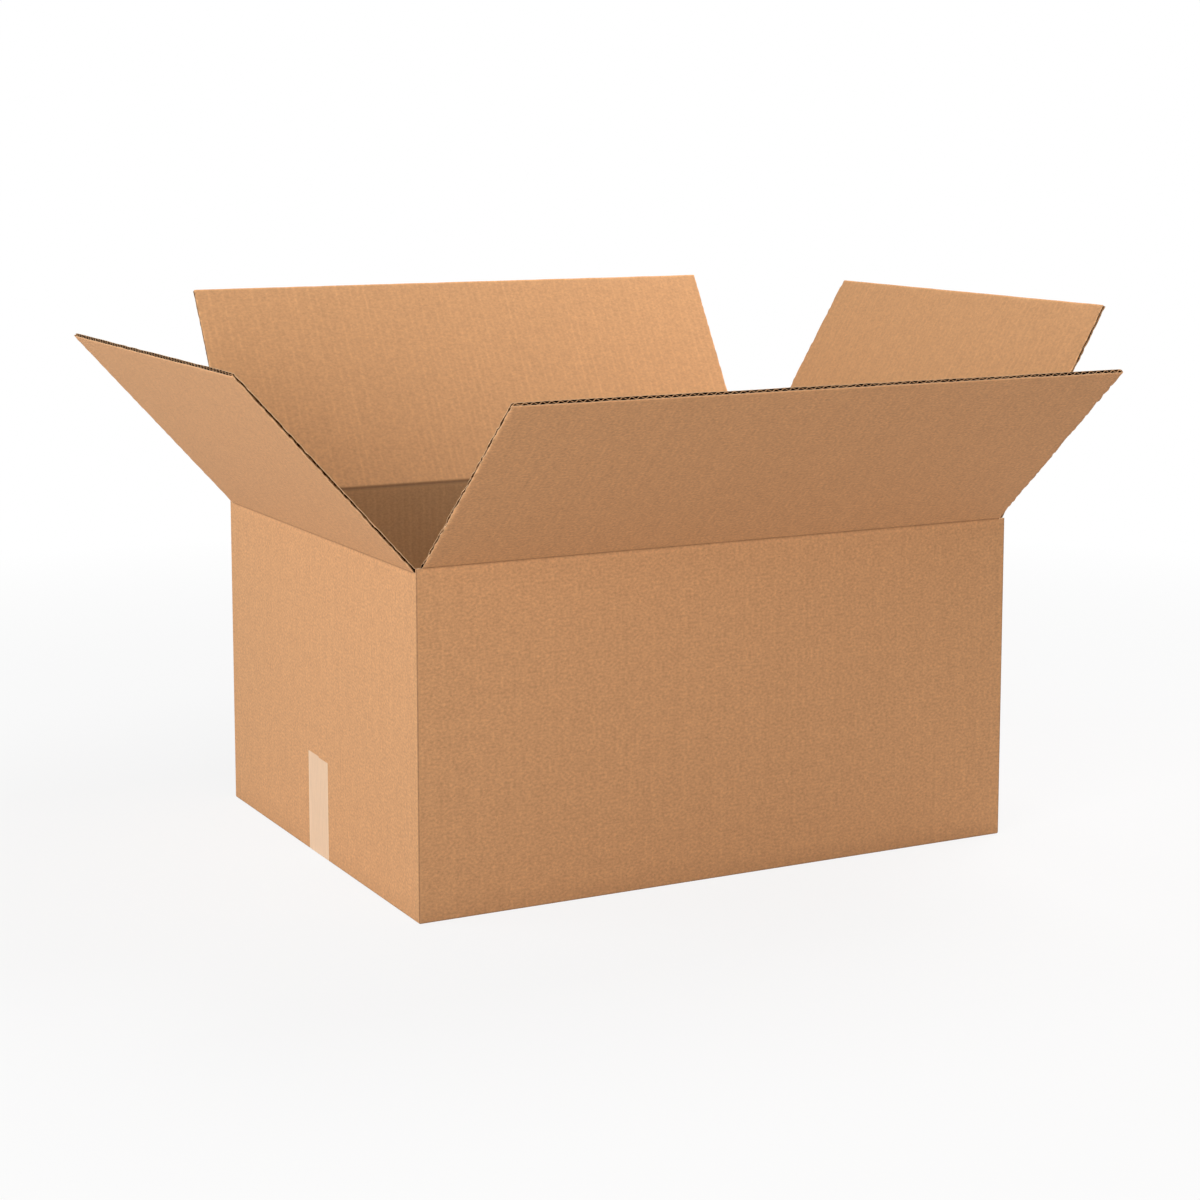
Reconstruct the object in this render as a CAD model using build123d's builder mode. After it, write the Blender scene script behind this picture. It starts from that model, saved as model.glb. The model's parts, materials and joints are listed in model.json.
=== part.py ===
"""Open carton of corrugated board, folded from one slotted sheet, with its bottom flaps taped shut.

The long panels are the front and back, and the shorter ones are the left and right ends. Eight flaps of
one length hang on the panels' creases. The lower four are folded shut, end flaps first, and a strip of
tape closes the seam of the long ones. The upper four swing on their creases and stand flared outwards.
"""

import os
from math import atan2, cos, radians, sin, tan

from build123d import *

# Sizes are in millimetres. X runs along the long panels, Y from the front to the back, and Z up.
# The origin is the middle of the base's underside.

# Panels, measured over the outside of the board
carton_length = 604.0
carton_width = 466.0
panel_height = 306.0  # from the base's underside to the long panels' top creases

# Board: two liners with a waved medium glued between them, known in the trade as C flute
board = 4.0
liner = 0.3
medium = 0.25
flute_pitch = 7.8
flute_depth = 30.0  # how far in from a cut edge the flutes are open
cut_flute_depth = 1.4  # how deep the flute is that a slotting knife lays open along a flap's side

# Folds, slots and flaps
fold_radius = 2.0
side_clearance = 2.0  # between a folded flap's cut side and the panel beside it
flap_seam = 2.0  # between the two long flaps, once folded shut
crease_gap = 0.4  # free board edge at a crease, so that a flap turns without rubbing
stacking_gap = 0.2  # between a folded end flap and the long flap that lies over it

# Opening angles of the upper flaps, from upright, outwards
front_opening = 48.8
back_opening = 31.3
left_opening = 42.2
right_opening = 30.7

# Glued joint of the sheet's two ends, at the corner of the back and right panels
tab_width = 35.0
tab_taper = 15.0  # degrees that the tab's ends slope, so that they clear the creases
tab_clearance = 6.0  # between the tab's ends and the creases above and below
joint_gap = 1.0  # between the back panel's cut edge and the fold that the tab comes from

# Tape over the base's seam, turned up on both end panels
tape_width = 48.0
tape_thickness = 0.2
tape_turn_up = 95.0

# Sizes that follow
half_length = carton_length / 2
half_width = carton_width / 2
half_slot = board + side_clearance
flap_reach = (carton_width - flap_seam) / 2
end_crease_height = panel_height - board - stacking_gap
long_flap_width = carton_length - 2 * half_slot
end_flap_width = carton_width - 2 * half_slot
flute_height = board - 2 * liner
flute_slope = atan2(flute_height, flute_pitch / 2)
flute_half_base = flute_pitch / 2 - medium / (2 * sin(flute_slope))


def flute_openings(edge, width):
    """Section of the flutes across a cut edge, as triangles under and over the waved medium.

    The edge plane has its origin on the board's outer face, X along the edge and Y through the board.
    """
    count = int((width - 2 * liner) // flute_pitch)
    apex = flute_half_base * tan(flute_slope)
    near_liner = liner
    far_liner = board - liner
    with BuildSketch(edge) as openings:
        with GridLocations(flute_pitch, 0, count, 1):
            Polygon(
                (-flute_half_base, near_liner),
                (flute_half_base, near_liner),
                (0, near_liner + apex),
                align=None,
            )
        with GridLocations(flute_pitch, 0, count - 1, 1):
            Polygon(
                (-flute_half_base, far_liner),
                (0, far_liner - apex),
                (flute_half_base, far_liner),
                align=None,
            )
    return openings.sketch


def flap(crease, width):
    """A flap of board on its crease, with a mitred root, open flutes and knife-cut sides.

    The crease plane has its origin in the middle of the crease, on the board's outer face. Its X runs
    along the crease, its Y up the flap and its Z out of the outer face.
    """
    side = Plane(origin=crease.origin, x_dir=crease.y_dir, z_dir=crease.x_dir)
    free_edge = Plane(
        origin=crease.origin + crease.y_dir * flap_reach,
        x_dir=crease.x_dir,
        z_dir=crease.y_dir,
    )
    with BuildPart() as sheet:
        # Half of a right-angled mitre at the root, so that the flap folds in square over its panel
        with BuildSketch(side):
            Polygon(
                (crease_gap, 0),
                (flap_reach, 0),
                (flap_reach, -board),
                (crease_gap + board, -board),
                align=None,
            )
        extrude(amount=width / 2, both=True)

        extrude(flute_openings(free_edge, width), amount=-flute_depth, mode=Mode.SUBTRACT)

        # The flute laid open along both cut sides
        with BuildSketch(free_edge):
            with Locations((width / 2, board / 2), (-width / 2, board / 2)):
                Rectangle(2 * cut_flute_depth, flute_height)
        extrude(amount=-(flap_reach - crease_gap - board), mode=Mode.SUBTRACT)
    return sheet.part


def upper_flap(name, foot, along, outwards, opening, width):
    """An upper flap that stands open by an angle from upright, written to its own file."""
    lean = radians(opening)
    up_the_flap = outwards * sin(lean) + Vector(0, 0, cos(lean))
    crease = Plane(origin=foot, x_dir=along, z_dir=along.cross(up_the_flap))
    part = flap(crease, width)
    part.label = name
    export_step(part, f"parts/{name}.step")


def panels():
    """The four panels as one folded tube on its base, with rounded folds and no flaps cut yet."""
    with BuildPart() as tube:
        with BuildSketch():
            RectangleRounded(carton_length, carton_width, fold_radius)
        extrude(amount=panel_height)
        fillet(tube.faces().sort_by(Axis.Z)[0].edges(), radius=fold_radius)
        with BuildSketch(Plane.XY.offset(board)):
            Rectangle(carton_length - 2 * board, carton_width - 2 * board)
        extrude(amount=panel_height, mode=Mode.SUBTRACT)
    return tube.part


def carton():
    """The folded sheet: panels, glued joint and the closed bottom flaps, as one piece of board."""
    end_run = carton_width - 2 * board
    inner_half_length = half_length - board
    with BuildPart() as sheet:
        add(panels())

        # The end panels' creases lie one board lower than the long panels', whose corners stay full height
        with BuildSketch(Plane.XY.offset(end_crease_height)):
            with Locations((half_length, 0), (-half_length, 0)):
                Rectangle(2 * board, carton_width - 2 * board)
        extrude(amount=panel_height, mode=Mode.SUBTRACT)

        # Mitres along the upper creases, which leave room for the flaps' own mitres
        with BuildSketch(Plane.YZ):
            for side in (1, -1):
                Polygon(
                    (side * half_width, panel_height),
                    (side * (half_width - board), panel_height),
                    (side * (half_width - board), panel_height - board),
                    align=None,
                )
        extrude(amount=long_flap_width / 2, both=True, mode=Mode.SUBTRACT)
        with BuildSketch(Plane.XZ):
            for side in (1, -1):
                Polygon(
                    (side * half_length, end_crease_height),
                    (side * inner_half_length, end_crease_height),
                    (side * inner_half_length, end_crease_height - board),
                    align=None,
                )
        extrude(amount=end_run / 2, both=True, mode=Mode.SUBTRACT)

        # The seam between the long bottom flaps, and the slots past their ends
        with BuildSketch():
            Rectangle(long_flap_width, flap_seam)
            slot_middle = inner_half_length - side_clearance / 2
            with Locations((slot_middle, 0), (-slot_middle, 0)):
                Rectangle(side_clearance, end_run)
        extrude(amount=board, mode=Mode.SUBTRACT)

        # End flaps folded in over the long ones, with open flutes along their free edges
        for side in (1, -1):
            free_edge = Plane(
                origin=(side * (half_length - flap_reach), 0, board),
                x_dir=(0, -side, 0),
                z_dir=(-side, 0, 0),
            )
            with BuildSketch(free_edge):
                with Locations((0, board / 2)):
                    Rectangle(end_flap_width, board)
            extrude(amount=-(flap_reach - board))
            extrude(
                flute_openings(free_edge, end_flap_width),
                amount=-flute_depth,
                mode=Mode.SUBTRACT,
            )

        # Glue tab, folded in from the back panel and stuck to the right panel's inside
        tab_foot = 2 * board + tab_clearance
        tab_top = end_crease_height - board - tab_clearance
        tab_drop = tab_width * tan(radians(tab_taper))
        back_inside = half_width - board
        with BuildSketch(Plane.YZ.offset(inner_half_length)):
            Polygon(
                (back_inside, tab_foot),
                (back_inside, tab_top),
                (back_inside - tab_width, tab_top - tab_drop),
                (back_inside - tab_width, tab_foot + tab_drop),
                align=None,
            )
        extrude(amount=-board)

        # The step where the right panel's cut edge stops short of the fold at the joint
        with BuildSketch(Plane.XY):
            with Locations((half_length, half_width - fold_radius)):
                Rectangle(joint_gap, joint_gap, align=(Align.MAX, Align.MAX))
        extrude(amount=panel_height, mode=Mode.SUBTRACT)
    return sheet.part


def tape_run():
    """The tape's strip along the base and up both ends, which the board is pressed in to take."""
    outer = [
        (-half_length, tape_turn_up),
        (-half_length, 0),
        (half_length, 0),
        (half_length, tape_turn_up),
    ]
    inner_half = half_length - tape_thickness
    inner = [
        (-inner_half, tape_turn_up),
        (-inner_half, tape_thickness),
        (inner_half, tape_thickness),
        (inner_half, tape_turn_up),
    ]
    with BuildPart() as strip:
        with BuildSketch(Plane.XZ):
            with BuildLine():
                FilletPolyline(outer, radius=fold_radius)
                FilletPolyline(inner, radius=fold_radius - tape_thickness)
                Line(outer[0], inner[0])
                Line(outer[-1], inner[-1])
            make_face()
        extrude(amount=tape_width / 2, both=True)
    return strip.part


os.makedirs("parts", exist_ok=True)

with BuildPart() as bottom_tape:
    add(tape_run())
bottom_tape.part.label = "bottom_tape"
export_step(bottom_tape.part, "parts/bottom_tape.step")

with BuildPart() as carton_body:
    add(carton())
    add(tape_run(), mode=Mode.SUBTRACT)
carton_body.part.label = "carton_body"
export_step(carton_body.part, "parts/carton_body.step")

front_foot = Vector(0, -half_width, panel_height)
back_foot = Vector(0, half_width, panel_height)
left_foot = Vector(-half_length, 0, end_crease_height)
right_foot = Vector(half_length, 0, end_crease_height)
across = Vector(1, 0, 0)
inwards = Vector(0, 1, 0)

upper_flap("front_flap", front_foot, across, -inwards, front_opening, long_flap_width)
upper_flap("back_flap", back_foot, -across, inwards, back_opening, long_flap_width)
upper_flap("left_flap", left_foot, -inwards, -across, left_opening, end_flap_width)
upper_flap("right_flap", right_foot, inwards, across, right_opening, end_flap_width)
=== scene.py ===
"""Dresses the open carton: its board with flutes, creases and cut edges, its tape, and the studio.

Lengths are metres in the part's own frame. A point of the board is given by x along the crease of its
panel, h up from that crease and the depth in from the outer face.
"""

import json
from math import cos, pi, radians, sin, tan

import bpy
import numpy as np
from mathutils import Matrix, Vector


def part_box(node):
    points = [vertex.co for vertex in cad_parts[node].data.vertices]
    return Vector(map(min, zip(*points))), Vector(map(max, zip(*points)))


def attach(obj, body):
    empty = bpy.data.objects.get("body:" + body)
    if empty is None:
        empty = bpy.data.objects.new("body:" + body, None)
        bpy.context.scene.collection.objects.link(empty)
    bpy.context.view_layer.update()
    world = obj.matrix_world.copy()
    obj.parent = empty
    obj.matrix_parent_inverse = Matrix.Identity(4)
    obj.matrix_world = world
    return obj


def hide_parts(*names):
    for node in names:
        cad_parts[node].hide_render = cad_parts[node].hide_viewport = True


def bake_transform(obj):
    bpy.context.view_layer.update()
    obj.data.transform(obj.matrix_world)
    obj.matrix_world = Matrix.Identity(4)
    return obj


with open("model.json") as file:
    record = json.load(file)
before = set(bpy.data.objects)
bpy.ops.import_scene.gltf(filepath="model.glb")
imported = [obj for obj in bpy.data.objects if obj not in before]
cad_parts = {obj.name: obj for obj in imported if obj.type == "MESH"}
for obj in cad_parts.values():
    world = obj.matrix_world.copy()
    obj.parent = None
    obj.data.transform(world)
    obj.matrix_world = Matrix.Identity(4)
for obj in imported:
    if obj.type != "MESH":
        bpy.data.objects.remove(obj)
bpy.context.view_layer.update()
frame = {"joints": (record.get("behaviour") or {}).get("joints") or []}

MM = 0.001
SLIGHT = 0.01 * MM

# Board: two liners glued to a waved medium
BOARD = 4.0 * MM
LINER = 0.3 * MM
MEDIUM = 0.25 * MM
FLUTE_PITCH = 7.8 * MM
LINER_COLUMNS = 4  # of the mesh, in each flute's pitch
MEDIUM_COLUMNS = 10
OUTER_DIP = 0.03 * MM  # how far the outer liner sinks between two glued crests
INNER_DIP = 0.12 * MM
DIP_START = 3.0 * MM  # from a crease to where the dips begin
DIP_RISE = 6.0 * MM  # from there to where they are full
LOOSE_SWAY = 0.9 * MM  # how far the medium's wave wanders sideways at the free edge
LOOSE_DEPTH = 6.0 * MM
LOOSE_STEP = 11.0 * MM

# Cut edges: a flap's free edge is at its top, and its cut sides are along the slots
SIDE_COLUMNS = (0.0, 0.8 * MM, 1.8 * MM, 3.0 * MM)  # in from a cut side, where the mesh has all its rows
SLOT_RISE = 4.0 * MM  # from a slot's foot to where its damage to the board is full
SWELL = 0.08 * MM  # how much thicker each liner is at the free edge, where the knife crushed its fibres
SIDE_SWELL = 0.2 * MM  # the same at the cut sides
SWELL_DEPTH = 1.5 * MM
FRAY = 0.5 * MM  # how much thicker the medium is at the free edge
SIDE_FRAY = 0.4  # share of that at the cut sides
CRUSH = 0.5 * MM  # how far the liners are pressed in along an upper flap's free edge, at most
BOTTOM_CRUSH = 0.4 * MM
CRUSH_DEPTH = 5.0 * MM
CRUSH_STEP = 17.0 * MM
PINCH = {"front": 1.5 * MM, "back": 1.2 * MM, "left": 1.1 * MM, "right": 1.2 * MM}  # and at its cut sides
PINCH_DEPTH = 3.0 * MM
PINCH_STEP = 4.0 * MM
PINCH_LEAST = 0.15  # share of the pinch that is there all along a side
LINER_TEAR = 0.9 * MM  # how far in from a cut side a liner is torn, at most
MEDIUM_TEAR = 2.0 * MM
TEAR_STEPS = (5.0 * MM, 2.4 * MM)  # of the coarse and the fine line that a tear follows
TORN_SIDE = {"front": -1, "left": 1}  # the flaps' sides along the slot at the front left corner
TORN_MORE = 1.4
TORN_LESS = 0.6
BROKEN_STEP = 3.0 * MM  # of the line that the frayed paper along a cut side is broken by

# Creases and folds
CREASE_HALF = 2.2 * MM  # half the height over which the board turns
CREASE_TAIL = 6.0 * MM  # board below the lower creases that is drawn with the flaps
VALLEY_DEPTH = 0.6 * MM
VALLEY_HALF = 0.8 * MM
BEAD_DEPTH = 0.3 * MM
BEAD_HALF = 1.0 * MM
FOLD_RADIUS = 1.6 * MM  # outside, at the vertical folds
FOOT_RADIUS = 1.6 * MM
INNER_RADIUS = 0.3 * MM
FOLD_STEPS = 8  # of the mesh, round each quarter turn
FOOT_STEPS = 5
FOLD_EASE = 4.0 * MM  # over which the panels' dips fade out before a fold

# Rows and columns of the meshes. Rows are counted from a crease, from a free edge or up from the base
CREASE_ROWS = (0.45 * MM, 0.9 * MM, 1.4 * MM, 2.0 * MM, 2.8 * MM, 4.0 * MM)
EDGE_ROWS = (4.0 * MM, 2.0 * MM, 0.8 * MM, 0.0)
PLAIN_ROWS = 110  # between the two, which only the cut sides need
PLAIN_MARGIN = 6.0 * MM
PLAIN_KEPT = (4, 20, 40, 60, 80, 100)
BOTTOM_FOLD_ROWS = (0.0, 60.0 * MM)
BOTTOM_EDGE_ROWS = (60.0 * MM, 12.0 * MM, 4.0 * MM, 2.0 * MM, 0.8 * MM, 0.0)
TAB_ROWS = 60
WALL_ROWS = (20.0 * MM, 90.0 * MM, 180.0 * MM, 260.0 * MM)
WALL_END_COLUMNS = (0.0, 1.0 * MM)  # in from a fold

# Shade of a liner's face: each whole step takes 28 % off its tone, or adds as much below 0
SHADE_STEP = 0.28
SHADE_LIMIT = 2.0
# Darker line along a crease: partly crushed fibres, partly painted shade in the crease
CREASE_SHADE = 1.3
CREASE_LINE = 0.7 * MM  # half the width of a crease's darker line
INNER_CREASE_SHADE = 2.2
INNER_CREASE_LINE = 1.1 * MM
# Painted shade along the vertical folds, partly crushed fibres too, and along the foot's roll facing the
# floor
FOLD_SHADE = 2.0
FOOT_SHADE = 1.6
FOOT_LINE = 1.2 * MM
# Painted shade in the inside corners
INNER_FOLD_SHARE = 0.3  # of the shade outside
BAND_SHADE = -0.2  # of the paler band below a crease, where the liner is stretched
BAND_DROP = 2.8 * MM
BAND_HALF = 1.3 * MM
FRAYED_SHADE = -1.9  # along the free edge
FRAYED_HALF = 1.1 * MM
# Along the cut sides the frayed paper is broken into pale dashes and dark ones, painted shade of open
# flutes
BROKEN_SHADE = (0.9, -2.5)  # along the cut sides, from the darkest to the palest
# Painted shade: the flutes and the liners' hidden faces grow near black in from a cut side
PAINTED_SHADE_DEPTH = 20.0 * MM  # in from a cut side, over which the flutes grow dark

# Bottom flaps and glued joint
SLOT_PLAY = 2.0 * MM
FLAT_START = 20.0 * MM  # rows of a flat piece are counted from here, clear of the crease's own shape
TAB_WIDTH = 35.0 * MM
TAB_CLEARANCE = 6.0 * MM
TAB_TAPER = radians(15.0)
JOINT_GAP = 1.0 * MM
JOINT_LIP = 0.05 * MM
JOINT_FROM_CORNER = 2.0 * MM

# Seeds of the random lines: each piece of board has one, and each kind of line adds its own
FLAP_SEEDS = {"front": 10, "right": 20, "back": 30, "left": 40}
BOTTOM_SEEDS = {"front": 60, "right": 61, "back": 62, "left": 63}
TAB_SEED = 91
LOOSE_SEED = 4
TEAR_SEED = 7  # times the paper's number
SQUEEZE_SEED = 100  # times the paper's number
BROKEN_SEED = 300

# Tape
TAPE_PROUD = 0.08 * MM
TAPE_COLUMNS = 61
TAPE_ROWS = (0.0, 6.0 * MM, 30.0 * MM, 60.0 * MM)  # down from an end
TAPE_LAST_ROW = 12.0 * MM  # above the base
TAPE_TURN_STEPS = 6
TAPE_BASE_ROWS = 9
TAPE_BASE_SHARE = 0.95  # of the base's length that they lie within
TAPE_TOOTH = 1.6 * MM
TAPE_TOOTH_DEPTH = 0.5 * MM
TAPE_STEP = 1.2 * MM  # step where the tape's end was torn off, from 1 mm past the middle
TAPE_STEP_START = 1.0 * MM
TAPE_STEP_RUN = 1.2 * MM
TAPE_SLANT = 0.6 * MM
TAPE_EDGE_HALF = 1.2 * MM  # how far in from its long edges the tape is paler

# Colours, as sRGB codes
OUTER_KRAFT = "CA9769"
INNER_KRAFT = "C69668"
# Drawn darker on the panels' inside: painted shade inside the box
INSIDE_KRAFT_PAINTED_SHADE = "B7946D"
MEDIUM_BROWN = "4A2812"
MEDIUM_TORN = "B98A5C"
# Painted shade deep in the flutes
MEDIUM_PAINTED_SHADE = "1C0E07"
CUT_EDGE = "CFA57A"
CUT_FIBRES = "E4C097"
TAPE_TAN = "DFBB97"
TAPE_EDGE = "E8CFAD"

# Camera, from a fit to the photograph's straight edges
CAMERA_PLACE = (-1.1201, -2.1328, 0.6683)
CAMERA_YAW = 0.4808
CAMERA_PITCH = 0.1264
CAMERA_LENS = 75.305
CAMERA_SHIFT = -0.125
SENSOR = 36.0
CLIP_END = 200.0

# Studio: each light has its place, size in metres, power in watts and tint
LIGHTS = {
    "key_light": ((-3.45, -1.99, 1.2), 2.0, 101.0, (0.98, 0.98, 1.0)),
    "top_light": ((0.8, 0.0, 1.5), 0.8, 18.4, (1.0, 0.97, 0.97)),
    "front_light": ((-0.6, -1.8, 0.9), 0.8, 6.5, (1.0, 0.92, 0.85)),
    "left_light": ((-1.6, 0.5, 0.9), 0.8, 7.5, (0.86, 0.94, 1.0)),
}
LIT_MIDDLE = (0.0, 0.0, 0.25)
WORLD_LEVEL = 0.12
WHITE = (1.0, 1.0, 1.0, 1.0)
FLOOR_GREY = (0.8, 0.8, 0.8, 1.0)
FLOOR_HALF = 30.0
FLOOR_DROP = 0.15 * MM  # below the base, clear of the tape
FLOOR_WHITE = 0.85  # share of plain white under the object, which leaves a faint shadow
SHADOW_NEAR = 0.6
SHADOW_FAR = 1.8

# Material numbers on every board mesh, and the numbers of the board's three papers
FACE, WAVE, CUT = 0, 1, 2
OUTER, INNER, WAVED = 1, 2, 3

UP = np.array([0.0, 0.0, 1.0])
SIDES = ("front", "right", "back", "left")
LONG_SIDES = ("front", "back")
body_low, body_high = (np.array(corner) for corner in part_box("carton_body"))
tape_low, tape_high = (np.array(corner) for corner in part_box("bottom_tape"))
joints = {joint["child"]: joint for joint in frame["joints"]}


def panel_of(side):
    """What one panel's frame holds: its crease, directions, flap and place along the flat sheet."""
    joint = joints[f"{side}_flap"]
    along = np.array(joint["axis"], float)
    out = np.cross(along, UP)
    crease = np.array(joint["pos_m"], float)
    opening = radians(-joint["range_deg"][0] - 90.0)
    low, high = (np.array(corner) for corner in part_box(f"{side}_flap"))
    flap_width = abs((high - low) @ along)
    reach = (high[2] - crease[2] - BOARD * sin(opening)) / cos(opening)
    width = abs((body_high - body_low) @ along)
    return {
        "side": side,
        "along": along,
        "out": out,
        "crease": crease,
        "foot": crease * (1.0, 1.0, 0.0),
        "opening": opening,
        "flap_width": flap_width,
        "reach": reach,
        "width": width,
    }


panels = {side: panel_of(side) for side in SIDES}
run = 0.0
for side in SIDES:
    panels[side]["start"] = run
    run += panels[side]["width"]

END_CREASE = panels["left"]["crease"][2]
LONG_CREASE = panels["front"]["crease"][2]
WALL_TOP = END_CREASE - CREASE_TAIL
REACH = panels["front"]["reach"]


def smooth(t):
    """Smooth step: 3 t squared less 2 t cubed, with t held between 0 and 1."""
    t = np.clip(t, 0.0, 1.0)
    return t * t * (3.0 - 2.0 * t)


def bell(distance, half):
    """Bell curve, 1 at distance 0 and about a third at half."""
    return np.exp(-((distance / half) ** 2))


def wander(seed, places, step):
    """Random line through places: a value from 0 to 1 drawn every step, joined by smooth steps."""
    draw = np.random.default_rng(seed)
    low = places.min()
    count = int((places.max() - low) / step) + 3
    knots = draw.random(count)
    position = (places - low) / step
    index = np.minimum(position.astype(int), count - 2)
    return knots[index] + (knots[index + 1] - knots[index]) * smooth(position - index)


# Meshes


class Mesh:
    """Vertices, faces and their material numbers, gathered from closed shells to become one mesh."""

    def __init__(self):
        self.points = []
        self.sheets = []
        self.creases = []
        self.faces = []
        self.finishes = []
        self.count = 0

    def shell(self, points, sheet, crease, faces, finishes):
        """One closed shell, with two attributes for each vertex and a finish for each face.

        sheet is the vertex's place on the flat sheet and which side it is on, and crease is its shade.
        """
        self.points.append(points)
        self.sheets.append(sheet)
        self.creases.append(crease)
        self.faces += [[corner + self.count for corner in face] for face in faces]
        self.finishes += finishes
        self.count += len(points)

    def make(self, name, materials):
        """The Blender object, smooth but for edges of more than 30 degrees."""
        mesh = bpy.data.meshes.new(name)
        mesh.from_pydata(np.concatenate(self.points).tolist(), [], self.faces)
        for material in materials:
            mesh.materials.append(material)
        mesh.polygons.foreach_set("material_index", np.array(self.finishes, np.int32))
        mesh.polygons.foreach_set("use_smooth", np.ones(len(self.faces), bool))
        mesh.set_sharp_from_angle(angle=radians(30.0))
        sheet = mesh.attributes.new("sheet", "FLOAT_VECTOR", "POINT")
        sheet.data.foreach_set("vector", np.concatenate(self.sheets).astype(np.float32).ravel())
        crease = mesh.attributes.new("crease", "FLOAT", "POINT")
        crease.data.foreach_set("value", np.concatenate(self.creases).astype(np.float32))
        mesh.validate()
        piece = bpy.data.objects.new(name, mesh)
        bpy.context.scene.collection.objects.link(piece)
        return piece


def quads(ids):
    """Four-cornered faces over a grid of vertex numbers, columns first."""
    corners = [ids[:-1, :-1], ids[1:, :-1], ids[1:, 1:], ids[:-1, 1:]]
    return np.stack(corners, axis=-1).reshape(-1, 4).tolist()


def around(bottom, right, top, left):
    """The vertices all round a grid, from its four edges, with each corner once."""
    return np.concatenate([bottom, right[1:-1], top[::-1], left[-2:0:-1]])


def skin(columns, rows, kept, margin):
    """One side of a sheet of paper as a grid over x and h, with all rows only near its two ends.

    The first and last margin columns have every row, the others only the kept ones. A face with more
    corners joins the two along each kept row. Returns x, h, the faces and the outline's vertices.
    """
    fine, coarse = len(rows), len(kept)
    inner = len(columns) - 2 * margin
    left = np.arange(margin * fine).reshape(margin, fine)
    middle = left.size + np.arange(inner * coarse).reshape(inner, coarse)
    right = left.size + middle.size + np.arange(margin * fine).reshape(margin, fine)
    first, between, last = np.split(columns, [margin, margin + inner])
    x = np.concatenate([np.repeat(first, fine), np.repeat(between, coarse), np.repeat(last, fine)])
    h = np.concatenate([np.tile(rows, margin), np.tile(rows[kept], inner), np.tile(rows, margin)])
    faces = quads(left) + quads(middle) + quads(right)
    for i, (low, high) in enumerate(zip(kept[:-1], kept[1:])):
        edge = left[-1, low : high + 1].tolist()
        faces.append([edge[0], int(middle[0, i]), int(middle[0, i + 1])] + edge[:0:-1])
        edge = right[0, low : high + 1].tolist()
        faces.append([int(middle[-1, i])] + edge + [int(middle[-1, i + 1])])
    bottom = np.concatenate([left[:, 0], middle[:, 0], right[:, 0]])
    top = np.concatenate([left[:, -1], middle[:, -1], right[:, -1]])
    return x, h, faces, around(bottom, right[-1], top, left[0])


def rim_of(outline, far_outline):
    """Faces that join the outlines of a front and a back."""
    return [
        [outline[i - 1], far_outline[i - 1], far_outline[i], outline[i]] for i in range(len(outline))
    ]


def sheet_of_paper(mesh, panel, place, skins, shade, depths, shares, finishes):
    """A closed sheet from two skins, front to the outside, and a rim between their outlines.

    shade gives the crease attribute from x, h, the material number and the skin's number. depths gives x
    again and the depth from x, h and the skin's share. finishes are the material numbers of the front,
    the back and the rim.
    """
    front, back = skins
    points, sheets, creases = [], [], []
    for number, (x, h, _, _) in enumerate(skins):
        moved, depth = depths(x, h, shares[number])
        placed = place(moved, h, depth)
        points.append(placed)
        along = panel["start"] + panel["width"] / 2 + moved
        below = smooth(0.5 + (panel["crease"][2] - placed[:, 2]) / (2 * CREASE_HALF))
        sheets.append(np.stack([along, panel["crease"][2] + h, number * (1.0 + below)], axis=-1))
        creases.append(shade(x, h, finishes[number], number))
    shift = len(front[0])
    rim = rim_of(front[3].tolist(), (back[3] + shift).tolist())
    turned = [[corner + shift for corner in face[::-1]] for face in back[2]]
    faces = front[2] + turned + rim
    marks = [finishes[0]] * len(front[2]) + [finishes[1]] * len(turned) + [finishes[2]] * len(rim)
    mesh.shell(np.concatenate(points), np.concatenate(sheets), np.concatenate(creases), faces, marks)


def even_columns(width, per_pitch, edge):
    """Columns at even steps of the flutes, mirrored about the middle, and those near the ends."""
    step = FLUTE_PITCH / per_pitch
    half = width / 2 - edge[-1] - step / 2
    count = int(half / step)
    inside = np.arange(-count, count + 1) * step
    ends = width / 2 - np.array(edge)
    return np.concatenate([-ends, inside, ends[::-1]])


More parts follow.
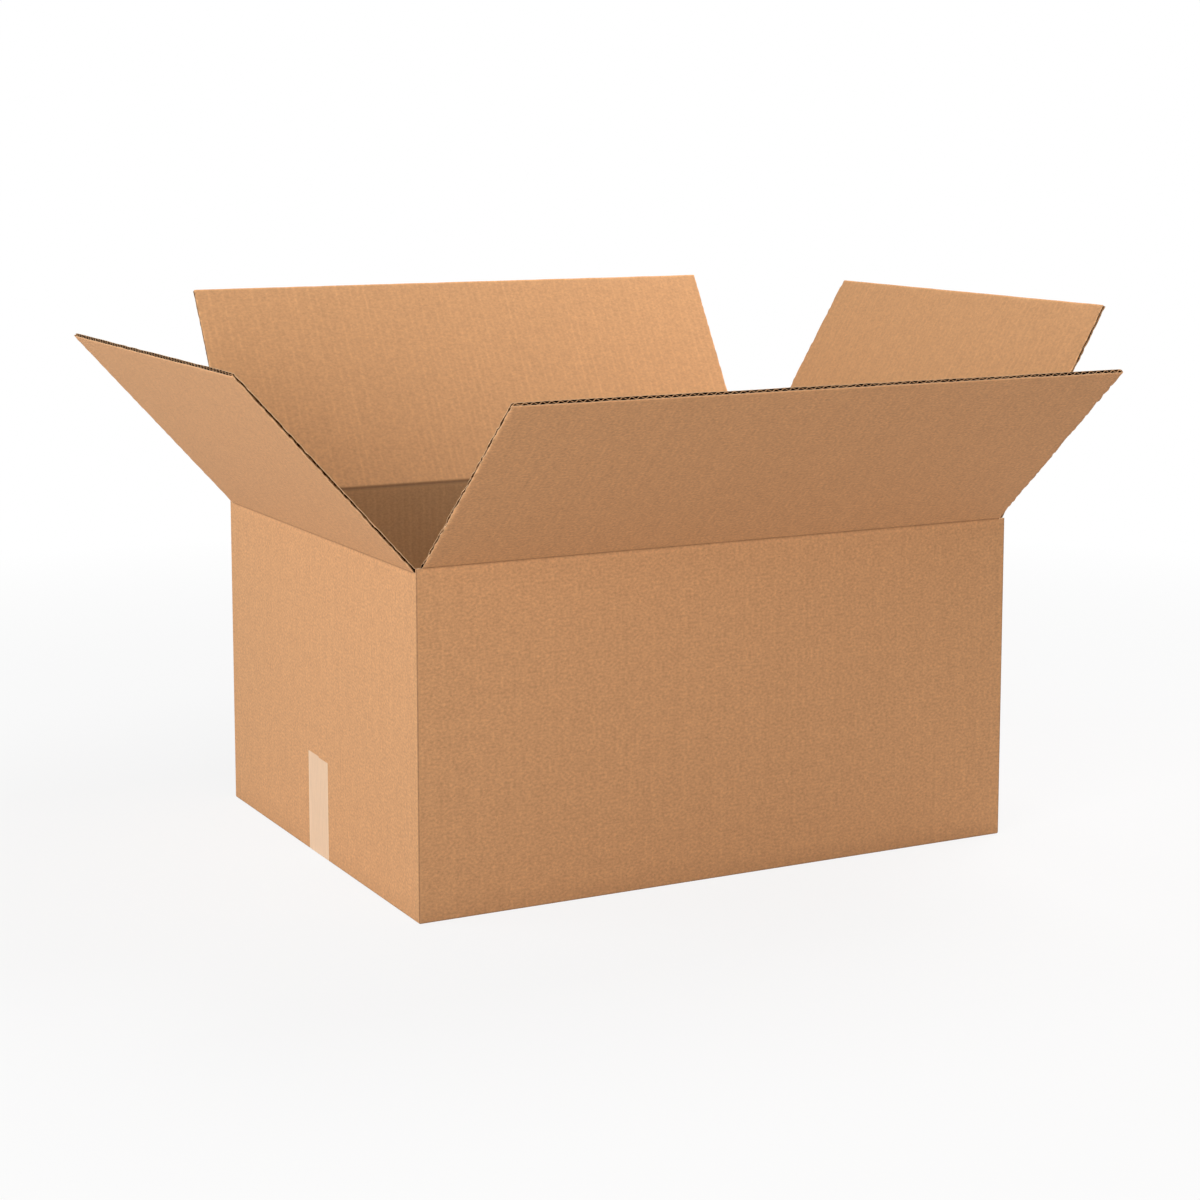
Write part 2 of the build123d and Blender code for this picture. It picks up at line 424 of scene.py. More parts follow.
def board(mesh, panel, place, width, rows, kept, sparse, ragged=None, crushed=0.0, seed=0):
    """A piece of board as its two liners and the waved medium, open along its edges.

    The medium's depth is the middle's less a cosine of x over the flute pitch. The liners dip a little
    between its crests, by a cosine too, and close in at the crease and where the free edge is crushed.
    All three swell by a smooth step near an open edge. Faces in sight have the kept rows, and hidden ones
    the sparse rows. ragged gives the height above which the knife-cut sides are torn, and crushed how far
    the free edge is pressed in.
    """
    top = rows[-1]
    edge = (0.0,) if ragged is None else SIDE_COLUMNS
    margin = len(edge)
    columns = even_columns(width, LINER_COLUMNS, edge)
    waves = even_columns(width, MEDIUM_COLUMNS, edge)

    def from_side(x):
        """Distance in from the nearer cut side: half the width less the size of x."""
        return width / 2 - np.abs(x)

    def apart(x, h):
        """h and twice the top, with the sign of x: one random line then differs from side to side."""
        return h + 2 * np.sign(x) * top

    def above_slot(h):
        """0 up to a slot's foot, and 1 by a smooth step further up."""
        return np.ones_like(h) if ragged is None else smooth((h - ragged) / SLOT_RISE)

    def near_side(x, h, depth):
        """1 at the cut sides above the slots' feet, by smooth steps to 0 at a depth from the sides."""
        return smooth(1.0 - from_side(x) / depth) * above_slot(h)

    def near_top(h, depth):
        """1 at the free edge, by a smooth step to 0 at a depth down from it."""
        return smooth(1.0 - (top - h) / depth)

    def torn(paper, x, h, deepest):
        """Moves x in from the cut side by a random line over h, fading out 3 mm from the side.

        It goes deepest along the slot at the front left corner, which the knife tore the most.
        """
        if ragged is None:
            return x
        side = np.sign(x)
        coarse = wander(seed + TEAR_SEED * paper, apart(x, h), TEAR_STEPS[0]) ** 3
        fine = wander(seed + TEAR_SEED * paper + 1, apart(x, h), TEAR_STEPS[1]) ** 2
        fade = np.clip(1.0 - from_side(x) / edge[-1], 0.0, 1.0) * above_slot(h)
        share = np.where(side == TORN_SIDE.get(panel["side"], 0), TORN_MORE, TORN_LESS)
        return x - side * fade * deepest * share * (coarse + fine) / 2

    def shade(x, h, finish, number):
        """How much darker a face is drawn along the crease, and paler where it is stretched or frayed.

        The crease's darker line is partly crushed fibres and partly painted shade. Each is a bell curve
        over the distance. Along the cut sides a random line breaks the frayed edge into pale dashes and
        dark ones, which are painted shade of the open flutes. On the papers' hidden faces it is painted
        shade, how deep
        in the dark they are: 0 in the flutes laid open, by a smooth step to 1.
        """
        # Painted shade on the faces hidden in the flutes
        if finish == WAVE:
            return 1.0 - near_side(x, h, PAINTED_SHADE_DEPTH)
        if number:
            crease = INNER_CREASE_SHADE * bell(h, INNER_CREASE_LINE)
        else:
            crease = CREASE_SHADE * bell(h, CREASE_LINE)
        band = BAND_SHADE * bell(h + BAND_DROP, BAND_HALF)
        frayed = FRAYED_SHADE * bell(top - h, FRAYED_HALF)
        # Dark dashes along the cut sides are painted shade of the open flutes
        dark, pale = BROKEN_SHADE
        broken = dark + (pale - dark) * wander(seed + BROKEN_SEED + number, apart(x, h), BROKEN_STEP)
        beside = np.where(above_slot(h) > 0.0, from_side(x), width)
        return crease + band + frayed + broken * bell(beside, FRAYED_HALF)

    def squeeze(paper, x, h):
        """How far a liner is pushed in: random along the free edge and the cut sides, 0 elsewhere."""
        line = seed + SQUEEZE_SEED * paper
        pressed = crushed * near_top(h, CRUSH_DEPTH) * wander(line, x, CRUSH_STEP) ** 2
        if ragged is None:
            return pressed
        uneven = PINCH_LEAST + (1.0 - PINCH_LEAST) * wander(line + 1, apart(x, h), PINCH_STEP) ** 2
        return np.maximum(pressed, PINCH[panel["side"]] * uneven * near_side(x, h, PINCH_DEPTH))

    def outer(x, h):
        """Depth of the outer face: a dip of 1 less the cosine over the pitch, and the crease's valley."""
        wave = (1.0 - np.cos(2 * pi * x / FLUTE_PITCH)) / 2
        dip = OUTER_DIP * wave * smooth((h - DIP_START) / DIP_RISE)
        return dip + VALLEY_DEPTH * bell(h, VALLEY_HALF) + squeeze(OUTER, x, h)

    def inner(x, h):
        """Depth of the inner face: the board's, less a dip of 1 plus the cosine and the crease's bead."""
        wave = (1.0 + np.cos(2 * pi * x / FLUTE_PITCH)) / 2
        dip = INNER_DIP * wave * smooth((np.abs(h) - DIP_START) / DIP_RISE)
        return BOARD - dip - BEAD_DEPTH * bell(h, BEAD_HALF) - squeeze(INNER, x, h)

    def swollen(x, h):
        """How much thicker a liner is near the free edge and the cut sides, by smooth steps."""
        return np.maximum(SWELL * near_top(h, SWELL_DEPTH), SIDE_SWELL * near_side(x, h, SWELL_DEPTH))

    def outer_liner(x, h, share):
        """The outer liner at a share of its thickness, 0 at its face and 1 where the medium is glued."""
        return torn(OUTER, x, h, LINER_TEAR), outer(x, h) + share * (LINER + swollen(x, h))

    def inner_liner(x, h, share):
        """The inner liner at a share of its thickness, counted as on the outer one."""
        return torn(INNER, x, h, LINER_TEAR), inner(x, h) - share * (LINER + swollen(x, h))

    def medium(x, h, side):
        """The medium's face on one side, -1 towards the outer liner and 1 towards the inner one.

        Its middle is halfway between the liners, less the cosine of x over the pitch. The face is half
        the thickness away from it, at a right angle to its slope.
        """
        loose = LOOSE_SWAY * near_top(h, LOOSE_DEPTH) * (wander(seed + LOOSE_SEED, x, LOOSE_STEP) - 0.5)
        swing = 2 * pi * (x + loose) / FLUTE_PITCH
        frayed = np.maximum(near_top(h, SWELL_DEPTH), SIDE_FRAY * near_side(x, h, SWELL_DEPTH))
        thickness = MEDIUM + FRAY * frayed
        high = inner_liner(x, h, 1.0)[1]
        low = outer_liner(x, h, 1.0)[1]
        height = (high - low - thickness) / 2
        lean = np.arctan(height * 2 * pi / FLUTE_PITCH * np.sin(swing))
        middle = (high + low) / 2 - height * np.cos(swing)
        moved = torn(WAVED, x, h, MEDIUM_TEAR) - side * np.sin(lean) * thickness / 2
        return moved, middle + side * np.cos(lean) * thickness / 2

    seen = skin(columns, rows, kept, margin)
    hidden = skin(columns, rows, sparse, margin)
    waved = skin(waves, rows, sparse, margin)
    for skins, depths, shares, finishes in (
        ((seen, hidden), outer_liner, (0.0, 1.0), (FACE, WAVE, CUT)),
        ((hidden, seen), inner_liner, (1.0, 0.0), (WAVE, FACE, CUT)),
        ((waved, waved), medium, (-1, 1), (WAVE, WAVE, FACE)),
    ):
        sheet_of_paper(mesh, panel, place, skins, shade, depths, shares, finishes)


# Pieces of board


def placed_at(panel, base, x, inward, up):
    """Points at x along a panel, inward from its outer face and up, all from a base point."""
    return base + x[:, None] * panel["along"] - inward[:, None] * panel["out"] + up[:, None] * UP


def folded(panel):
    """Place on the panel and its upper flap, which turn about the crease line."""

    def place(x, h, depth):
        """h and the depth, turned by the opening angle times a smooth step over the crease."""
        turn = panel["opening"] * smooth((h + CREASE_HALF) / (2 * CREASE_HALF))
        inward = depth * np.cos(turn) - h * np.sin(turn)
        up = h * np.cos(turn) + depth * np.sin(turn)
        return placed_at(panel, panel["crease"], x, inward, up)

    return place


def upper_flap(panel, materials):
    """An upper flap with its crease, and the panel's topmost strip under it."""
    side = panel["side"]
    foot = WALL_TOP - panel["crease"][2]
    crease_rows = np.concatenate([-np.array(CREASE_ROWS[::-1]), [0.0], CREASE_ROWS])
    plain = np.linspace(PLAIN_MARGIN, panel["reach"] - PLAIN_MARGIN, PLAIN_ROWS)
    edge_rows = panel["reach"] - np.array(EDGE_ROWS)
    rows = np.concatenate([[foot], crease_rows, plain, edge_rows])
    first = 1 + len(crease_rows)
    plain_end = first + PLAIN_ROWS - 1
    last = len(rows) - 1
    near_crease = np.arange(first + 1)
    kept = np.concatenate([near_crease, first + np.array(PLAIN_KEPT), np.arange(plain_end, last + 1)])
    sparse = np.array([0, *range(1, first - 1, 2), first, plain_end, last - 2, last - 1, last])
    mesh = Mesh()
    board(
        mesh,
        panel,
        folded(panel),
        panel["flap_width"],
        rows,
        kept,
        sparse,
        ragged=0.0,
        crushed=CRUSH,
        seed=FLAP_SEEDS[side],
    )
    piece = mesh.make(f"{side}_flap_board", materials)
    name = f"{side}_flap"
    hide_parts(name)
    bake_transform(piece)


def bottom_flap(mesh, panel):
    """A bottom flap, folded in flat from its panel's inside to its free edge.

    The long ones lie on the base's plane, and the end ones on top of them.
    """
    side = panel["side"]
    height = 0.0 if side in LONG_SIDES else BOARD
    width = panel["width"] - 2 * (BOARD + SLOT_PLAY)

    def place(x, h, depth):
        """h runs inwards from the panel's inside, and the depth runs up from the height."""
        return placed_at(panel, panel["foot"], x, BOARD + h - FLAT_START, height + depth)

    length = REACH - BOARD
    rows = FLAT_START + np.append(BOTTOM_FOLD_ROWS, length - np.array(BOTTOM_EDGE_ROWS))
    kept = np.arange(len(rows))
    sparse = np.array([0, 2, 5, 6, 7])
    board(mesh, panel, place, width, rows, kept, sparse, crushed=BOTTOM_CRUSH, seed=BOTTOM_SEEDS[side])


def glue_tab(mesh):
    """The tab on the right panel's inside at its back corner: board whose ends slope by the taper."""
    panel = panels["right"]
    low = 2 * BOARD + TAB_CLEARANCE
    high = END_CREASE - BOARD - TAB_CLEARANCE
    middle = (low + high) / 2
    rows = np.linspace(FLAT_START, FLAT_START + high - low, TAB_ROWS)

    def place(x, h, depth):
        """h about the middle shrinks in a straight line from the fold to the tab's far side."""
        from_fold = TAB_WIDTH / 2 - x
        share = 1.0 - 2 * from_fold * tan(TAB_TAPER) / (high - low)
        up = middle + (h - FLAT_START - (high - low) / 2) * share
        along = panel["width"] / 2 - BOARD - from_fold
        return placed_at(panel, panel["foot"], along, BOARD + depth, up)

    last = TAB_ROWS - 1
    kept = np.array([0, 1, last // 2, last - 1, last])
    everywhere = -1.0  # below all of the tab's rows
    board(mesh, panel, place, TAB_WIDTH, rows, kept, kept, ragged=everywhere, seed=TAB_SEED)


def wall_columns(panel):
    """Columns of one panel from its first fold to its last, as x and the depth of the outer groove."""
    half = panel["width"] / 2 - FOLD_RADIUS
    x = even_columns(2 * half, LINER_COLUMNS, WALL_END_COLUMNS)
    slot = panel["flap_width"] / 2
    x = np.concatenate([x, (-slot, slot)])
    groove = np.zeros_like(x)
    if panel["side"] == "right":
        edge = panel["width"] / 2 - JOINT_FROM_CORNER
        x = x[(x < edge - JOINT_GAP - JOINT_LIP) | (x > edge + JOINT_LIP)]
        groove = np.concatenate([np.zeros_like(x), (0.0, JOINT_GAP, JOINT_GAP, 0.0)])
        x = np.concatenate([x, edge - np.array([JOINT_GAP + JOINT_LIP, JOINT_GAP, 0.0, -JOINT_LIP])])
    order = np.argsort(x)
    return x[order], groove[order]


def straight_columns(panel):
    """Columns of the tube's section along one panel.

    Each has the outer and the inner skin's point on the base's plane, the direction out, its place along
    the flat sheet, its shade, and whether it is under an upper flap or in a corner that rises past the
    end panels' creases. The skins dip by a cosine over the flute pitch.
    """
    along, out = panel["along"], panel["out"]
    x, groove = wall_columns(panel)
    half = panel["width"] / 2
    slot = panel["flap_width"] / 2
    shrink = (half - BOARD - INNER_RADIUS) / (half - FOLD_RADIUS)
    wave = np.cos(2 * pi * x / FLUTE_PITCH)
    ease = smooth((half - FOLD_RADIUS - np.abs(x)) / FOLD_EASE)
    dip = OUTER_DIP * (1 - wave) / 2 * ease + groove
    bulge = INNER_DIP * (1 + wave) / 2 * ease
    corner_from = slot if panel["side"] in LONG_SIDES else half - FOLD_RADIUS
    return (
        panel["foot"] + x[:, None] * along - dip[:, None] * out,
        panel["foot"] + (x * shrink)[:, None] * along - (BOARD - bulge)[:, None] * out,
        np.tile(out, (len(x), 1)),
        panel["start"] + half + x,
        bell(half - np.abs(x), CREASE_LINE),
        np.abs(x) < slot - SLIGHT,
        np.abs(x) > corner_from - SLIGHT,
    )


def turned_columns(panel):
    """The same for the fold past the panel's end, where both skins turn on quarter circles."""
    along, out = panel["along"], panel["out"]
    turns = np.linspace(0.0, pi / 2, FOLD_STEPS + 1)[1:-1]
    half = panel["width"] / 2
    centre = panel["foot"] + (half - FOLD_RADIUS) * along - FOLD_RADIUS * out
    inside = half - BOARD - INNER_RADIUS
    inner_centre = panel["foot"] + inside * along - (BOARD + INNER_RADIUS) * out
    ray = np.sin(turns)[:, None] * along + np.cos(turns)[:, None] * out
    past_middle = FOLD_RADIUS * (turns - pi / 4)
    return (
        centre + FOLD_RADIUS * ray,
        inner_centre + INNER_RADIUS * ray,
        ray,
        panel["start"] + panel["width"] + past_middle,
        bell(past_middle, CREASE_LINE),
        np.zeros(len(turns), bool),
        np.ones(len(turns), bool),
    )


def walls(mesh):
    """The four panels as one tube: a section of two skins, carried round the folds and up.

    The outer skin rolls in to the base on a quarter circle. Cells over a panel's crease strip are left
    out, and only the corners of the long panels rise past the end panels' creases.
    """
    section = [part(panels[side]) for side in SIDES for part in (straight_columns, turned_columns)]
    outer, inner, outward, sheets, folds, strips, corners = (
        np.concatenate(parts) for parts in zip(*section)
    )
    roll = np.linspace(0.0, pi / 2, FOOT_STEPS + 1)
    heights = np.append(WALL_ROWS, (WALL_TOP, END_CREASE, LONG_CREASE))
    outer_z = np.concatenate([FOOT_RADIUS * (1 - np.cos(roll)), heights])
    inner_z = np.concatenate([np.linspace(0.0, BOARD, len(roll)), heights])
    tuck = np.concatenate([FOOT_RADIUS * (1 - np.sin(roll)), np.zeros(len(heights))])

    columns, rows = len(outer), len(outer_z)
    outer_grid = outer[:, None] + outer_z[:, None] * UP - tuck[:, None] * outward[:, None]
    inner_grid = inner[:, None] + inner_z[:, None] * UP
    points = np.concatenate([outer_grid.reshape(-1, 3), inner_grid.reshape(-1, 3)])
    sheet = np.zeros((2, columns, rows, 3))
    sheet[..., 0] = sheets[:, None]
    sheet[0, ..., 1] = outer_z
    sheet[1, ..., 1] = inner_z
    sheet[1, ..., 2] = 2.0
    # Painted shade along the folds, partly crushed fibres, and on the foot's roll, which faces the floor
    line = np.maximum(FOLD_SHADE * folds[:, None], FOOT_SHADE * bell(outer_z, FOOT_LINE))
    # A share of it is painted shade in the inside corners
    crease = np.concatenate([line.ravel(), (INNER_FOLD_SHARE * line).ravel()])

    near = np.arange(columns * rows).reshape(columns, rows)
    far = near + columns * rows
    near, far = (np.concatenate([ids, ids[:1]]) for ids in (near, far))
    keep = np.ones((columns, rows - 1), bool)
    keep[:, -2] = ~(strips & np.roll(strips, -1))
    keep[:, -1] = corners & np.roll(corners, -1)
    ahead, behind = np.roll(keep, -1, axis=0), np.roll(keep, 1, axis=0)
    below = np.pad(keep, ((0, 0), (1, 0)))[:, :-1]
    above = np.pad(keep, ((0, 0), (0, 1)))[:, 1:]
    faces, marks = [], []

    def add(mask, cell, finish):
        """The faces of the cells in a mask, each with its corners from the two grids."""
        c, r = np.nonzero(mask)
        found = np.stack([grid[c + right, r + up] for grid, right, up in cell], axis=-1)
        faces.extend(found.tolist())
        marks.extend([finish] * len(found))

    add(keep, [(near, 0, 0), (near, 1, 0), (near, 1, 1), (near, 0, 1)], FACE)
    add(keep, [(far, 0, 0), (far, 0, 1), (far, 1, 1), (far, 1, 0)], FACE)
    add(keep & ~below, [(near, 0, 0), (far, 0, 0), (far, 1, 0), (near, 1, 0)], FACE)
    add(keep & ~above, [(near, 1, 1), (far, 1, 1), (far, 0, 1), (near, 0, 1)], CUT)
    add(keep & ~ahead, [(near, 1, 0), (far, 1, 0), (far, 1, 1), (near, 1, 1)], CUT)
    add(keep & ~behind, [(near, 0, 1), (far, 0, 1), (far, 0, 0), (near, 0, 0)], CUT)
    mesh.shell(points, sheet.reshape(-1, 3), crease, faces, marks)


def carton_board(materials):
    """The panels, the bottom flaps folded shut and the glue tab, all parts of one sheet."""
    mesh = Mesh()
    walls(mesh)
    for side in SIDES:
        bottom_flap(mesh, panels[side])
    glue_tab(mesh)
    piece = mesh.make("carton_board", materials)
    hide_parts("carton_body")
    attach(piece, "carton")


# Tape


def tape_strip(material):
    """The tape: a thin section carried down one end, under the base and up the other end.

    Its path is two straight runs and the base, joined by quarter circles. Its ends are saw-toothed, and
    the end in front has a step where it tore.
    """
    half_width = (tape_high[1] - tape_low[1]) / 2
    half_length = (tape_high[0] - tape_low[0]) / 2
    across = np.linspace(-half_width, half_width, TAPE_COLUMNS)
    saw = 2 * TAPE_TOOTH_DEPTH * np.abs((across / TAPE_TOOTH) % 1.0 - 0.5)
    slant = TAPE_SLANT * (1 - across / half_width) / 2
    step = TAPE_STEP * smooth((-across - TAPE_STEP_START) / TAPE_STEP_RUN) + slant
    heights = np.append(tape_high[2] - np.array(TAPE_ROWS), TAPE_LAST_ROW)
    turns = np.linspace(0.0, pi / 2, TAPE_TURN_STEPS + 1)
    base_end = half_length * TAPE_BASE_SHARE
    base = np.linspace(-base_end, base_end, TAPE_BASE_ROWS)

    def path(offset):
        """Places along the strip, as x and z, at an offset out from the board's face."""
        radius = FOOT_RADIUS + offset
        down = [(-half_length - offset, z) for z in heights]
        centre = -half_length + FOOT_RADIUS
        turn = [(centre - radius * cos(a), FOOT_RADIUS - radius * sin(a)) for a in turns]
        under = [(x, -offset) for x in base]
        return np.array(down + turn + under + [(-x, z) for x, z in (down + turn)[::-1]])

    grids = []
    for offset in (TAPE_PROUD, SLIGHT):
        line = path(offset)
        grid = np.zeros((len(across), len(line), 3))
        grid[..., 0] = line[:, 0]
        grid[..., 1] = across[:, None]
        grid[..., 2] = line[:, 1]
        grid[:, 0, 2] -= step + saw
        grid[:, -1, 2] -= saw
        grids.append(grid)
    columns, rows = grids[0].shape[:2]
    near = np.arange(columns * rows).reshape(columns, rows)
    far = near + columns * rows
    outline = around(near[:, 0], near[-1], near[:, -1], near[0])
    rim = rim_of(outline.tolist(), (outline + columns * rows).tolist())
    faces = quads(near) + [face[::-1] for face in quads(far)] + rim
    along = np.concatenate([[0.0], np.cumsum(np.linalg.norm(np.diff(path(0.0), axis=0), axis=1))])
    sheet = np.zeros((2, columns, rows, 3))
    sheet[..., 0] = across[:, None]
    sheet[..., 1] = along
    edge = np.tile(bell(half_width - np.abs(across), TAPE_EDGE_HALF)[:, None], (2, 1, rows))
    mesh = Mesh()
    mesh.shell(
        np.concatenate([grid.reshape(-1, 3) for grid in grids]),
        sheet.reshape(-1, 3),
        edge.ravel(),
        [face[::-1] for face in faces],
        [0] * len(faces),
    )
    piece = mesh.make("tape_strip", [material])
    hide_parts("bottom_tape")
    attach(piece, "carton")


# Materials


def linear(code):
    """Linear colour with alpha from an sRGB hex code."""
    parts = [int(code[i : i + 2], 16) / 255 for i in (0, 2, 4)]
    return tuple(c / 12.92 if c <= 0.04045 else ((c + 0.055) / 1.055) ** 2.4 for c in parts) + (1.0,)


def material_named(name):
    """An empty node material, its tree and its output."""
    material = bpy.data.materials.new(name)
    material.use_nodes = True
    tree = material.node_tree
    tree.nodes.clear()
    return material, tree, tree.nodes.new("ShaderNodeOutputMaterial")


def add_node(tree, kind, settings=None, inputs=None):
    """Adds a node, sets its properties, and sets or links its inputs, each named or numbered."""
    made = tree.nodes.new(kind)
    for name, value in (settings or {}).items():
        setattr(made, name, value)
    for key, value in (inputs or {}).items():
        if isinstance(value, bpy.types.NodeSocket):
            tree.links.new(value, made.inputs[key])
        else:
            made.inputs[key].default_value = value
    return made


def attribute(tree, name, output):
    """An output of one of the attributes that the meshes carry."""
    return add_node(tree, "ShaderNodeAttribute", {"attribute_name": name}).outputs[output]


def pattern(tree, place, size, stretch=(1.0, 1.0, 1.0), detail=2.0, offset=0.0):
    """Noise over the sheet whose features have a size in metres, stretched along any axis."""
    scale = tuple(1.0 / (size * s) for s in stretch)
    moved = add_node(
        tree,
        "ShaderNodeMapping",
        {"vector_type": "POINT"},
        {"Vector": place, "Scale": scale, "Location": (offset, offset, offset)},
    )
    settings = {"noise_dimensions": "3D"}
    inputs = {"Vector": moved.outputs[0], "Scale": 1.0, "Detail": detail, "Roughness": 0.55}
    return add_node(tree, "ShaderNodeTexNoise", settings, inputs).outputs["Fac"]


def remap(tree, value, low, high, to_low=0.0, to_high=1.0):
    """Value taken from one range to another, held at its ends."""
    inputs = {"Value": value, "From Min": low, "From Max": high, "To Min": to_low, "To Max": to_high}
    return add_node(tree, "ShaderNodeMapRange", {"clamp": True}, inputs).outputs["Result"]


def maths(tree, operation, first, second=0.0):
    """One sum on one or two values."""
    return add_node(tree, "ShaderNodeMath", {"operation": operation}, {0: first, 1: second}).outputs[0]


def scaled(tree, colour, factor):
    """A colour times a factor."""
    inputs = {"Vector": colour, "Scale": factor}
    return add_node(tree, "ShaderNodeVectorMath", {"operation": "SCALE"}, inputs).outputs["Vector"]


def mixed(tree, factor, first, second):
    """Two colours mixed by a factor."""
    settings = {"data_type": "RGBA", "blend_type": "MIX"}
    inputs = {"Factor": factor, "A": first, "B": second}
    return add_node(tree, "ShaderNodeMix", settings, inputs).outputs["Result"]


def surface(tree, output, inputs):
    """Ends a material's tree in a principled shader with these inputs."""
    shader = add_node(tree, "ShaderNodeBsdfPrincipled", inputs=inputs)
    tree.links.new(shader.outputs[0], output.inputs["Surface"])


def kraft_liner():
    """Unbleached kraft linerboard: matte brown paper with a fibre mottle and faint cloudy formation."""
    material, tree, output = material_named("kraft_liner_board")
    place = attribute(tree, "sheet", "Vector")
    crease = attribute(tree, "crease", "Fac")
    parts = add_node(tree, "ShaderNodeSeparateXYZ", inputs={0: place}).outputs
    inside = parts["Z"]
    # Fibres lie mostly across the flutes, so the mottle is drawn out that way
    fibre = pattern(tree, place, 2.2 * MM, stretch=(1.3, 1.0, 1.0), detail=4.0)
    cloud = pattern(tree, place, 9.0 * MM, stretch=(1.0, 1.4, 1.0), offset=3.1)
    speck = pattern(tree, place, 1.7 * MM, detail=0.0, offset=7.7)
    streak = pattern(tree, place, 4.5 * MM, stretch=(1.0, 30.0, 1.0), detail=1.0, offset=5.3)
    tone = remap(tree, fibre, 0.25, 0.75, 0.78, 1.22)
    tone = maths(tree, "MULTIPLY", tone, remap(tree, cloud, 0.3, 0.7, 0.96, 1.04))
    tone = maths(tree, "MULTIPLY", tone, remap(tree, streak, 0.3, 0.7, 0.985, 1.015))
    tone = maths(tree, "MULTIPLY", tone, remap(tree, speck, 0.8, 0.86, 1.0, 0.75))
    # The mottle is fainter on the inner liner
    tone = maths(tree, "POWER", tone, remap(tree, inside, 0.0, 1.0, 1.0, 0.7))
    # Painted shade along creases and folds, partly crushed fibres, and paler where stretched or frayed
    most = SHADE_LIMIT * SHADE_STEP
    shade = remap(tree, crease, -SHADE_LIMIT, SHADE_LIMIT, 1.0 + most, 1.0 - most)
    tone = maths(tree, "MULTIPLY", tone, shade)
    # The inner liner is a little greyer, and darker still on the panels' inside: painted shade in the box
    colour = mixed(tree, remap(tree, inside, 0.0, 1.0), linear(OUTER_KRAFT), linear(INNER_KRAFT))
    colour = mixed(tree, remap(tree, inside, 1.0, 2.0), colour, linear(INSIDE_KRAFT_PAINTED_SHADE))
    # Stripes of painted light: a little paler over the crests glued to the outer liner, and more so
    # inside
    flute = maths(tree, "COSINE", maths(tree, "MULTIPLY", parts["X"], 2 * pi / FLUTE_PITCH))
    crest = maths(tree, "POWER", remap(tree, flute, -1.0, 1.0), 3.0)
    share = maths(tree, "MULTIPLY", crest, remap(tree, inside, 0.0, 1.0, 0.017, 0.05))
    share = maths(tree, "MULTIPLY", share, remap(tree, streak, 0.3, 0.7, 0.5, 1.5))
    tone = maths(tree, "MULTIPLY", tone, maths(tree, "ADD", share, 1.0))
    relief = add_node(
        tree, "ShaderNodeBump", inputs={"Height": fibre, "Strength": 0.25, "Distance": 0.12 * MM}
    )
    surface(
        tree,
        output,
        {
            "Base Color": scaled(tree, colour, tone),
            "Roughness": remap(tree, fibre, 0.3, 0.7, 0.82, 0.92),
            "Normal": relief.outputs[0],
            "IOR": 1.45,
        },
    )
    return material


def fluting_medium():
    """Semi-chemical fluting: the thin waved paper inside, darker and rougher than the liners.

    Its darkness deep in the flutes, and on the liners' faces hidden there, is painted shade.
    """
    material, tree, output = material_named("fluting_medium_paper")
    place = attribute(tree, "sheet", "Vector")
    depth = attribute(tree, "crease", "Fac")
    fibre = pattern(tree, place, 2.6 * MM, stretch=(1.4, 1.0, 1.0))
    laid_open = mixed(tree, remap(tree, fibre, 0.42, 0.58), linear(MEDIUM_BROWN), linear(MEDIUM_TORN))
    # Painted shade: near black deeper in from a cut side, on the medium and the liners' hidden faces
    colour = mixed(tree, remap(tree, depth, 0.0, 1.0), laid_open, linear(MEDIUM_PAINTED_SHADE))
    surface(tree, output, {"Base Color": colour, "Roughness": 0.9, "Specular IOR Level": 0.0})
    return material


def cut_board():
    """The liners' cut edge: torn fibres catch the light, so it is paler than the face."""
    material, tree, output = material_named("knife_cut_liner_edge")
    fibre = pattern(tree, attribute(tree, "sheet", "Vector"), 1.2 * MM, detail=3.0)
    colour = mixed(tree, remap(tree, fibre, 0.35, 0.65), linear(CUT_EDGE), linear(CUT_FIBRES))
    surface(tree, output, {"Base Color": colour, "Roughness": 0.95, "IOR": 1.45})
    return material


def tape_film():
    """Polypropylene carton tape: thin tan film, glued down, with a soft sheen and paler edges."""
    material, tree, output = material_named("polypropylene_tape_film")
    place = attribute(tree, "sheet", "Vector")
    edge = attribute(tree, "crease", "Fac")
    streak = pattern(tree, place, 2.2 * MM, stretch=(1.0, 18.0, 1.0))
    mottle = pattern(tree, place, 5.0 * MM, offset=2.2)
    tone = remap(tree, streak, 0.3, 0.7, 0.95, 1.05)
    tone = maths(tree, "MULTIPLY", tone, remap(tree, mottle, 0.3, 0.7, 0.985, 1.015))
    colour = scaled(tree, mixed(tree, edge, linear(TAPE_TAN), linear(TAPE_EDGE)), tone)
    surface(tree, output, {"Base Color": colour, "Roughness": 0.42, "IOR": 1.5})
    return material


# Studio


def seen_directly(tree):
    """1 for what the camera sees, straight or through gloss or glass, and 0 for light on its way."""
    paths = add_node(tree, "ShaderNodeLightPath")
    seen = maths(tree, "ADD", paths.outputs["Is Camera Ray"], paths.outputs["Is Glossy Ray"])
    return maths(tree, "ADD", seen, paths.outputs["Is Transmission Ray"])


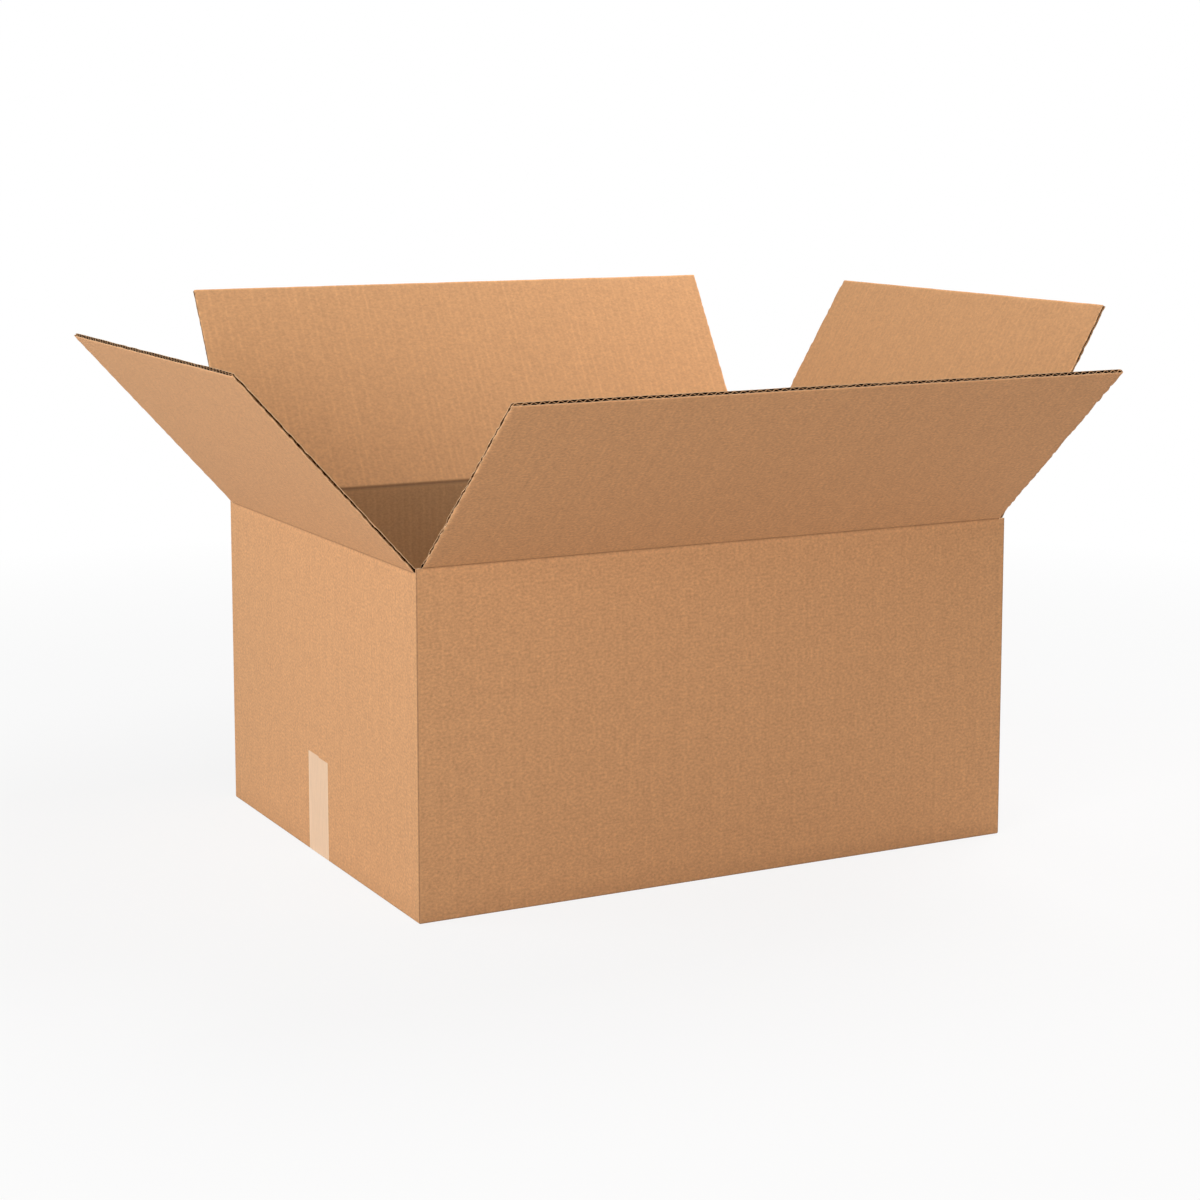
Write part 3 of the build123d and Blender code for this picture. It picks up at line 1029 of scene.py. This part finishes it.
def studio_floor():
    """A wide pale floor: white away from the object, and near it with a part of the object's shadow."""
    mesh = bpy.data.meshes.new("studio_floor")
    signs = [(-1, -1), (1, -1), (1, 1), (-1, 1)]
    corners = [(x * FLOOR_HALF, y * FLOOR_HALF, -FLOOR_DROP) for x, y in signs]
    mesh.from_pydata(corners, [], [(0, 1, 2, 3)])
    floor = bpy.data.objects.new("studio_floor", mesh)
    bpy.context.scene.collection.objects.link(floor)
    material, tree, output = material_named("matt_white_floor")
    place = add_node(tree, "ShaderNodeTexCoord").outputs["Object"]
    away = add_node(tree, "ShaderNodeVectorMath", {"operation": "LENGTH"}, {0: place}).outputs["Value"]
    plain = remap(tree, away, SHADOW_NEAR, SHADOW_FAR, FLOOR_WHITE, 1.0)
    share = maths(tree, "MULTIPLY", seen_directly(tree), plain)
    matt = add_node(tree, "ShaderNodeBsdfDiffuse", inputs={"Color": FLOOR_GREY})
    white = add_node(tree, "ShaderNodeEmission", inputs={"Color": WHITE, "Strength": 1.0})
    shaders = {0: share, 1: matt.outputs[0], 2: white.outputs[0]}
    mix = add_node(tree, "ShaderNodeMixShader", inputs=shaders)
    tree.links.new(mix.outputs[0], output.inputs["Surface"])
    mesh.materials.append(material)


def studio_world():
    """White where the camera looks past the floor, and a soft even light on everything else."""
    world = bpy.data.worlds.new("studio_world")
    bpy.context.scene.world = world
    world.use_nodes = True
    tree = world.node_tree
    tree.nodes.clear()
    output = add_node(tree, "ShaderNodeOutputWorld")
    level = remap(tree, seen_directly(tree), 0.0, 1.0, WORLD_LEVEL, 1.0)
    light = add_node(tree, "ShaderNodeBackground", inputs={"Color": WHITE, "Strength": level})
    tree.links.new(light.outputs[0], output.inputs["Surface"])


def soft_light(name, place, size, power, tint):
    """A square area light, aimed at the middle of the box, that the camera doesn't see itself."""
    data = bpy.data.lights.new(name, "AREA")
    data.shape = "SQUARE"
    data.size = size
    data.energy = power
    data.color = tint
    light = bpy.data.objects.new(name, data)
    light.location = place
    light.visible_camera = False
    direction = Vector(LIT_MIDDLE) - Vector(place)
    light.rotation_euler = direction.to_track_quat("-Z", "Y").to_euler()
    bpy.context.scene.collection.objects.link(light)


def camera():
    """The camera, level from side to side and tipped down by its pitch."""
    data = bpy.data.cameras.new("camera")
    data.lens = CAMERA_LENS
    data.sensor_width = SENSOR
    data.sensor_fit = "AUTO"
    data.shift_y = CAMERA_SHIFT
    data.clip_end = CLIP_END
    piece = bpy.data.objects.new("camera", data)
    piece.location = CAMERA_PLACE
    piece.rotation_euler = (pi / 2 - CAMERA_PITCH, 0.0, -CAMERA_YAW)
    bpy.context.scene.collection.objects.link(piece)
    bpy.context.scene.camera = piece


board_materials = [kraft_liner(), fluting_medium(), cut_board()]
carton_board(board_materials)
for side in SIDES:
    upper_flap(panels[side], board_materials)
tape_strip(tape_film())

studio_floor()
studio_world()
for name, (place, size, power, tint) in LIGHTS.items():
    soft_light(name, place, size, power, tint)
camera()

bpy.context.scene.view_settings.view_transform = "Standard"
